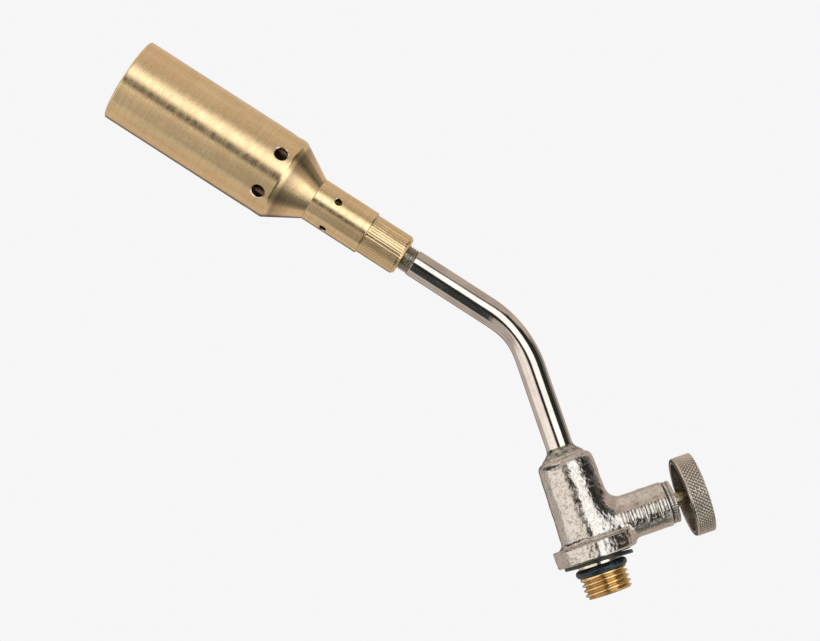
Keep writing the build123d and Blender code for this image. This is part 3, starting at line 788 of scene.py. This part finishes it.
def braze_fillet():
    low, high = (corner.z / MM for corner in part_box("braze_fillet"))
    inner, spread = TUBE_R + 0.02, 1.85
    outline = [(low - 0.5, inner), (low - 0.5, 5.7)]
    for t in np.linspace(0, 1, 15):
        radius = TUBE_R + 0.08 + spread * (1 - t) ** 1.8
        outline.append((low + (high - low) * t, radius))
    outline.append((high + 0.05, inner))

    def lumps(along, radius, turn):
        swell = 0.16 * np.sin(3 * turn + 0.6) + 0.12 * np.sin(5 * turn + 2.0)
        swell += 0.07 * np.sin(11 * turn + 3 * along)
        return swell * np.clip(radius - inner, 0, 1)

    piece = turned("braze_fillet_lumpy", inlet, outline, 120, lumps)
    dress(piece, "torch_body", braze, "braze_fillet")


bent_tube()
braze_fillet()

# --- Cast valve body ---


def polygon_distance(x, y, corners):
    """Signed distance from points to a closed outline, negative inside."""
    corners = np.array(corners)
    squared = np.full(x.shape, 1e9)
    inside = np.zeros(x.shape, bool)
    for (ax, ay), (bx, by) in zip(corners, np.roll(corners, -1, axis=0)):
        ex, ey = bx - ax, by - ay
        wx, wy = x - ax, y - ay
        t = np.clip((wx * ex + wy * ey) / (ex * ex + ey * ey), 0, 1)
        squared = np.minimum(squared, (wx - t * ex) ** 2 + (wy - t * ey) ** 2)
        if ey != 0:
            crosses = ((ay > y) != (by > y)) & (x < ax + (y - ay) * ex / ey)
            inside ^= crosses
    return np.sqrt(squared) * np.where(inside, -1, 1)


def blended(first, second, radius):
    """Union of two shapes, with a round fillet where they meet."""
    a, b = np.maximum(radius - first, 0), np.maximum(radius - second, 0)
    return np.maximum(radius, np.minimum(first, second)) - np.hypot(a, b)


def trimmed(first, second, radius):
    """Overlap of two shapes, with a rounded edge where they meet."""
    a, b = np.maximum(first + radius, 0), np.maximum(second + radius, 0)
    return np.minimum(-radius, np.maximum(first, second)) + np.hypot(a, b)


def body_outline(foot_r, top_r, top):
    """The barrel's outline as (radius, height) points, with its domed shoulder."""
    crown_r = 6.0
    corners = [
        (0.5, 0, 0),
        (0.5, foot_r, 0),
        (SHOULDER_Z + 1.6, top_r - 0.04, 2.2),
        (SHOULDER_Z + 2.85, 7.3, 0.9),
        (SHOULDER_Z + 3.1, 6.5, 0.3),
        (top, crown_r, 0.3),
        (top, 0, 0),
    ]
    return [(radius, height) for height, radius in eased(corners, 5)]


def valve_body():
    barrel = body_outline(foot_r=8.95, top_r=8.3, top=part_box("valve_body")[1].z / MM)
    arm_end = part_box("gland_seal")[0].x / MM
    arm_z = arm.origin[2]
    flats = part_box("valve_body")[1].y / MM * math.cos(math.pi / 8) + 0.07
    flat_turns = [math.pi / 4 * (i + 0.5) for i in range(8)]
    crispness = 70                  # how sharp the octagon's corners are

    def distance(p):
        """Distance from points to the plain body's surface, negative inside."""
        x, y, z = p.T
        barrel_d = polygon_distance(np.hypot(x, y), z, barrel)
        arm_d = trimmed(np.hypot(y, z - arm_z) - ARM_R, np.maximum(x - arm_end, -x), 0.35)
        sides = []
        for turn in flat_turns:
            out = x * math.cos(turn) + y * math.sin(turn)
            aside = y * math.cos(turn) - x * math.sin(turn)
            sides.append(np.maximum(out + FLAT_CROWN * aside ** 2, 0))
        octagon = flats * ((np.stack(sides) / flats) ** crispness).sum(axis=0) ** (1 / crispness) - flats
        flange_d = trimmed(octagon, np.abs(z - FLANGE_THICK / 2) - FLANGE_THICK / 2, 0.4)
        return blended(blended(barrel_d, arm_d, ARM_FILLET), flange_d, FOOT_FILLET)

    def marks(p):
        """Plain raised bars along the side of the arm."""
        x, y, z = p.T
        rise = ARM_R * np.arctan2(z - arm_z, -y)
        beyond = np.maximum(np.abs(rise + MARK_SINK) - MARK_HALF, 0)
        height = np.zeros(len(p))
        for i in range(MARK_COUNT):
            aside = x - (MARK_START + MARK_STEP * i)
            height += MARK_HEIGHT * smooth(np.hypot(aside, beyond), 0.72, 0.3)
        return height * (y < 0) * (np.hypot(y, z - arm_z) < ARM_R + 1)

    def rough(p):
        """The skin of a sand casting: pimples and shallow dents."""
        lumps = 0.018 * waves(p, 1.1, 11) + 0.022 * waves(p, 2.2, 12) + 0.03 * waves(p, 6.0, 13)
        dents = np.maximum(waves(p, 1.9, 14) - 1.1, 0)
        off_machined = smooth(p[:, 2], 0.15, 0.7) * smooth(p[:, 0], arm_end - 0.05, arm_end - 0.4)
        return (lumps - 0.05 * dents) * off_machined

    blanks = [
        turned("blank", inlet, [(0, 0), *[(z, r) for r, z in barrel[1:-1]], (barrel[-1][1], 0)], 96),
        turned("blank", arm, [(0, 0), (0, ARM_R), (arm_end, ARM_R), (arm_end, 0)], 96),
        turned("blank", inlet, [(0, 0), (0, flats), (FLANGE_THICK, flats), (FLANGE_THICK, 0)], 96),
    ]
    piece = joined(blanks)
    piece.data.transform(Matrix.Scale(1 / MM, 4))
    remesh = piece.modifiers.new("remesh", "REMESH")
    remesh.mode = "VOXEL"
    remesh.voxel_size = VOXEL
    apply(piece)

    # The remeshed blanks only give the mesh: each point is moved on to the true surface.
    mesh = piece.data
    points = np.empty(len(mesh.vertices) * 3)
    mesh.vertices.foreach_get("co", points)
    points = points.reshape(-1, 3)
    edges = np.empty(len(mesh.edges) * 2, int)
    mesh.edges.foreach_get("vertices", edges)
    points, outward = settled(points, edges.reshape(-1, 2), distance)
    points = points + outward * (rough(points) + marks(points))[:, None]
    mesh.vertices.foreach_set("co", (points * MM).astype(np.float32).ravel())
    mesh.update()
    piece.name = "valve_body_cast"

    top = barrel[-1][1] + 1
    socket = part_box("bent_tube")[0].z / MM - 0.3
    gland = arm.span("gland_nut")[0]
    bores = [
        drill(inlet, -1, 4.2, 6.5, columns=96),                         # for the inlet connector
        drill(inlet, socket, top, TUBE_R + JOINT_GAP, columns=96),      # for the tube
        drill(inlet, 6.2, socket + 1, TUBE_BORE_R),                     # gas passage under the tube
        drill(arm, 0.0, 3.6, 1.1),                                      # gas passage to the seat
        drill(arm, 2.6, 5.0, 2.58),                                     # for the valve seat
        drill(arm, 4.4, 10.0, 3.2),                                     # for the spindle
        drill(arm, gland - 0.3, arm_end + 1, 4.6, columns=96),          # for the gland nut
    ]
    for bore in bores:
        cut(piece, [bore], cast_plate, crease=40)
    dress(piece, "torch_body", cast_plate, "valve_body")


def settled(points, edges, distance, rounds=3, nudge=0.02):
    """Evens out a mesh's points and moves them on to the surface where distance is zero.
    Returns them with the surface's outward direction at each."""
    count = np.bincount(edges.ravel(), minlength=len(points))[:, None]
    for step in range(rounds + 2):
        if 0 < step <= rounds:
            total = np.zeros_like(points)
            for first, second in ((0, 1), (1, 0)):
                for axis in range(3):
                    total[:, axis] += np.bincount(
                        edges[:, first], weights=points[edges[:, second], axis], minlength=len(points))
            points = total / count
        gap = distance(points)
        slope = np.stack([(distance(points + nudge * way) - gap) / nudge for way in np.eye(3)], axis=1)
        slope /= np.maximum(np.linalg.norm(slope, axis=1), 1e-6)[:, None]
        points = points - gap[:, None] * slope
    return points, slope


valve_body()

# --- Gland ring and knob ---


def gland_nut():
    start, end, outer = arm.span("gland_nut")
    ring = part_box("gland_seal")[1].x / MM
    shank_r, inner_r, stem_r = 4.57, 3.1, 2.27
    shank = 10.0
    nicks = 46
    middle = (ring + end) / 2

    def notches(along, radius, turn):
        """Nicks round the ring, deepest in the groove between its two beads."""
        nick = np.clip(np.cos(nicks * turn), 0, 1) ** 2
        groove = smooth(np.abs(along - middle), 0.45, 0.1)
        return np.where(radius > outer - 0.7, -0.25 * nick * (0.2 + groove) + 0.02 * np.sin(9 * turn), 0)

    corners = [
        (start, inner_r, 0),
        (start, shank_r, 0.2),
        (ring, shank_r, 0),
        (ring, outer, 0.22),
        (middle - 0.3, outer, 0.15),
        (middle, outer - 0.42, 0.12),
        (middle + 0.3, outer, 0.15),
        (end, outer, 0.25),
        (end, stem_r, 0.2),
        (start + shank, stem_r, 0),
        (start + shank, inner_r, 0),
    ]
    outline = filled(eased(corners), step=0.2, inside=outer - 0.5)
    piece = turned("gland_nut_ringed", arm, outline, nicks * 6, notches)
    dress(piece, "torch_body", ring_plate, "gland_nut")


def control_knob():
    start, end, outer = arm.span("control_knob")
    recess_r, dish_r, hub_r = 10.25, 9.6, 2.8
    web_start, web_end = 32.6, 33.6
    pitch = 2 * np.pi * outer / KNURL_COUNT

    def diamonds(along, radius, turn):
        """Two crossing sets of V grooves, which leave flat-topped pyramids between them."""
        round_it, along_it = KNURL_COUNT * turn / (2 * np.pi), (along - start) / pitch
        height = [1 - np.abs(2 * (line % 1.0) - 1) for line in (round_it + along_it, round_it - along_it)]
        ridge = np.minimum(np.minimum(*height) * 1.9, 1.0)
        fade = smooth(along, start + 0.6, start + 1.0) * smooth(along, end - 0.1, end - 0.35)
        return np.where(radius > outer - 0.5, -KNURL_DEPTH * (1 - ridge) * fade, 0)

    outline = eased([
        (start, recess_r, 0.15),
        (start, outer, 0.9),
        (end, outer, 0.2),
        (end, dish_r, 0.25),
        (web_end, dish_r - 0.1, 0.4),
        (web_end, hub_r, 0),
        (web_start, hub_r, 0),
        (web_start, recess_r, 0.5),
    ])
    outline = filled(outline, step=pitch / KNURL_STEPS, inside=outer - 0.2)
    piece = turned("control_knob_knurled", arm, outline, KNURL_COUNT * KNURL_STEPS, diamonds, split=True)
    piece.data.materials.append(knob_plate)
    piece.data.materials.append(recess_painted_shade)
    # The recess faces take a near-black material that is painted shade.
    for face in piece.data.polygons:
        radius = math.hypot(face.center.x, face.center.y) / MM
        in_recess = face.center.z / MM < web_start + 0.3 and radius < recess_r - 0.02
        face.material_index = 1 if in_recess else 0
    dress(piece, "valve_spindle", knob_plate, "control_knob")


def knob_hub():
    start, end, outer = arm.span("knob_hub")
    rivet_r, bore_r = outer - 0.43, 2.18
    web = arm.span("control_knob")[1] - 2.4
    outline = eased([
        (start, bore_r, 0.1),
        (start, outer, 0.3),
        (web, outer, 0.05),
        (web, rivet_r, 0),
        (end, rivet_r, 0.15),
        (end, bore_r, 0),
    ])
    piece = turned("knob_hub_turned", arm, outline, 96)
    dress(piece, "valve_spindle", dull_brass, "knob_hub")


gland_nut()
control_knob()
knob_hub()

# --- Inlet ---


def inlet_connector():
    bottom, top, outer = inlet.span("inlet_connector")
    seal_low, seal_high, _ = inlet.span("inlet_oring")
    stem_r, groove_r, bore_r, mouth_r = 6.45, 5.35, 2.6, 3.6
    filter_top = inlet.span("inlet_filter")[1]
    outline = eased([
        (top, bore_r, 0),
        (top, stem_r, 0.2),
        (seal_high + FIT_GAP, stem_r, 0.12),
        (seal_high + FIT_GAP, groove_r, 0.1),
        (seal_low - FIT_GAP, groove_r, 0.1),
        (seal_low - FIT_GAP, outer, 0.25),
        (bottom + 0.75, outer, 0.1),
        (bottom, outer - 0.8, 0.12),
        (bottom, mouth_r, 0.25),
        (filter_top, mouth_r, 0),
        (filter_top, bore_r, 0),
    ])
    outline = filled(outline, step=0.07, inside=outer - 0.9, start=bottom, end=seal_low)
    piece = turned("inlet_connector_threaded", inlet, outline, 192,
                   thread(INLET_PITCH, outer, bottom - 0.6, seal_low - 0.1, fade=0.7), split=True)
    dress(piece, "torch_body", cut_brass, "inlet_connector")


def inlet_washer():
    low, high, outer = inlet.span("inlet_washer")
    low -= 0.3                  # a little thicker than the CAD washer
    inner = 6.6

    def warped(points):
        """The washer has come away from the flange at the back on the knob's side, and sags there."""
        x, y, z = points.T
        away = smooth(x * math.cos(WASHER_TURN) + y * math.sin(WASHER_TURN), -9.0, outer)
        return np.stack([x, y, z - WASHER_DROP * away], axis=1)

    corners = [(low, inner, 0.15), (low, outer, 0.22), (high, outer, 0.22), (high, inner, 0.15)]
    outline = filled(eased(corners), step=0.5, inside=0)
    piece = turned("inlet_washer_warped", inlet, outline, 144, shape=warped)
    dress(piece, "torch_body", washer_rubber, "inlet_washer")


def inlet_oring():
    low, high, outer = inlet.span("inlet_oring")
    section = (high - low) / 2
    middle, middle_r = (low + high) / 2, outer - section
    points = 32
    outline = []
    for i in range(points):
        turn = 2 * math.pi * i / points
        outline.append((middle + section * math.sin(turn), middle_r + section * math.cos(turn)))
    piece = turned("inlet_oring_moulded", inlet, outline, 144)
    dress(piece, "torch_body", oring_rubber, "inlet_oring")


inlet_connector()
inlet_washer()
inlet_oring()

# --- CAD pieces that keep their shape ---

kept = {
    "jet": cut_brass,
    "jet_filter": bronze,
    "jet_seal": fibre,
    "mixing_nozzle": scorched,
    "flame_holder": scorched,
    "valve_seat": cut_brass,
    "gland_seal": oring_rubber,
    "spindle": dull_brass,
    "spindle_oring": oring_rubber,
    "knob_screw": zinc,
    "inlet_filter": bronze,
    "opening_pin": cut_brass,
}
for node, material in kept.items():
    shape = frame["nodes"][node]
    shape.data.materials.clear()
    shape.data.materials.append(material)

# --- Studio ---

# What surrounds the torch: walls, then softboxes and the dark gaps between them, each laid over those before.
# (azimuth from, to, elevation from, to, softness, all in degrees, then the colour)
# Azimuth 0 is towards -Y and 90 towards +X.
WALLS = (
    (-98, -21, -10, 60, 5, (1.22, 1.11, 1.03)),         # left wall
    (-130, -98, -14, 12, 5, (0.64, 0.59, 0.54)),        # its far corner
    (-130, -26, 13, 40, 3, (0.045, 0.045, 0.04)),       # rail on the left wall
    (-98, -40, -60, -18, 5, (0.60, 0.55, 0.51)),        # below the left wall
    (-200, 200, 56, 99, 8, (0.82, 0.71, 0.62)),         # ceiling
    (-200, 200, -99, -72, 4, (0.20, 0.19, 0.17)),       # ground
    (-200, -156, -25, 25, 5, (0.10, 0.10, 0.09)),       # dark end of the room, seen in faces turned to -X
)
PANELS = (
    (-22, -4, -40, 9, 1.5, (0.030, 0.032, 0.030)),      # gap left of the softbox
    (90, 114, -9, 14, 3, (0.17, 0.16, 0.15)),           # far end of the gap right of it
    (46, 90, -9, 14, 2, (0.028, 0.030, 0.028)),         # that gap
    (44, 84, 9, 21, 1.5, (0.028, 0.030, 0.028)),        # which narrows upwards
    (40, 74, 19, 28.5, 1, (0.045, 0.045, 0.04)),        # and narrows again
    (-30, 34, -76, -56, 5, (0.26, 0.25, 0.22)),         # things on the table
    (-3, 62, 28, 31, 1, (0.30, 0.27, 0.24)),            # rail above the softbox
    (0, 45, -26, 24, 1.2, (1.56, 1.54, 1.52)),          # softbox
    (33, 68, -66, -24, 1.5, (1.60, 1.52, 1.42)),        # low reflector
)
TABLE = (-73, 46, -80, 30, 3, (0.045, 0.052, 0.052))    # dark table, seen below a slanting edge
TABLE_EDGE = (-0.62, 0.0, 0.78)                         # square to the plane of that edge
TABLE_FADE = (0.07, 0.035)                              # how far above that plane it begins and is full
UNEVEN = (0.8, 1.2)                                     # darkest and lightest of the walls' own clouding
ROOM = (0.61, 0.505, 0.435)
BACKDROP = (0.922, 0.922, 0.922)


def studio():
    """World light: a warm pale room with softboxes and dark gaps. The camera sees a plain backdrop."""
    world = bpy.data.worlds.new("studio")
    bpy.context.scene.world = world
    world.use_nodes = True
    n = Nodes(world.node_tree)
    direction = n.add("TexCoord", {}, "Generated")
    x, y, z = (n.add("SeparateXYZ", {0: direction}, axis) for axis in "XYZ")
    azimuth = n.math("ARCTAN2", x, n.math("MULTIPLY", y, -1.0))
    elevation = n.math("ARCSINE", z)

    def between(angle, low, high, soft):
        """1 where an angle lies between two others, with soft edges. All but the angle are in degrees."""
        rise = n.ramp(angle, math.radians(low - soft), math.radians(low + soft))
        fall = n.ramp(angle, math.radians(high + soft), math.radians(high - soft))
        return n.math("MULTIPLY", rise, fall)

    slant = n.add("VectorMath", {0: direction, 1: TABLE_EDGE}, "Value", operation="DOT_PRODUCT")
    below = n.ramp(slant, *TABLE_FADE)
    cloud = n.add("TexNoise", {"Vector": direction, "Scale": 4.0, "Detail": 3.0})
    uneven = n.add("MapRange", {"Value": cloud, "From Min": 0.3, "From Max": 0.7,
                                "To Min": UNEVEN[0], "To Max": UNEVEN[1]})
    colour = ROOM
    for panel in (*WALLS, TABLE, *PANELS):
        az_low, az_high, el_low, el_high, soft, shade = panel
        columns = between(azimuth, az_low, az_high, soft)
        mask = n.math("MULTIPLY", columns, between(elevation, el_low, el_high, soft))
        if panel == TABLE:
            mask = n.math("MULTIPLY", mask, below)
            colour = n.add("VectorMath", {0: colour, "Scale": uneven}, operation="SCALE")
        colour = n.blend(mask, colour, shade)
    lit = n.add("Background", {"Color": colour})
    seen = n.add("Background", {"Color": BACKDROP})
    is_camera = n.add("LightPath", {}, "Is Camera Ray")
    shown = n.add("MixShader", {0: is_camera, 1: lit, 2: seen})
    n.set(world.node_tree.nodes["World Output"], "Surface", shown)


def floor():
    """A plain pale disc under the torch."""
    count = 128
    z = cad_box[0].z / MM - FLOOR_DROP
    middle = (cad_box[0] + cad_box[1]) / 2 / MM
    points = [(middle.x, middle.y, z)]
    for i in range(count):
        turn = 2 * math.pi * i / count
        points.append((middle.x + FLOOR_R * math.cos(turn), middle.y + FLOOR_R * math.sin(turn), z))
    faces = [(0, i + 1, (i + 1) % count + 1) for i in range(count)]
    piece = make("floor", points, faces)
    s = Surface("pale_floor", Roughness=0.8, Specular_IOR_Level=0.2)
    cloud = s.noise(60.0)
    tint = s.blend(cloud, (0.80, 0.86, 0.94), (0.82, 0.88, 0.96))
    piece.data.materials.append(s.finish(Base_Color=tint, Emission_Color=(1, 1, 1), Emission_Strength=0.22))
    piece.visible_glossy = False


def camera():
    lens = bpy.data.cameras.new("camera")
    lens.lens = CAMERA_LENS
    lens.sensor_width = CAMERA_SENSOR
    lens.clip_start, lens.clip_end = 0.05, 20.0
    viewer = bpy.data.objects.new("camera", lens)
    bpy.context.scene.collection.objects.link(viewer)
    place, aim = Vector(CAMERA_PLACE) * MM, Vector(CAMERA_AIM) * MM
    looking = (aim - place).to_track_quat("-Z", "Y").to_matrix().to_4x4()
    roll = Matrix.Rotation(math.radians(-CAMERA_ROLL), 4, "Z")
    viewer.matrix_world = Matrix.Translation(place) @ looking @ roll
    bpy.context.scene.camera = viewer


studio()
floor()
camera()
bpy.context.scene.view_settings.view_transform = "Standard"
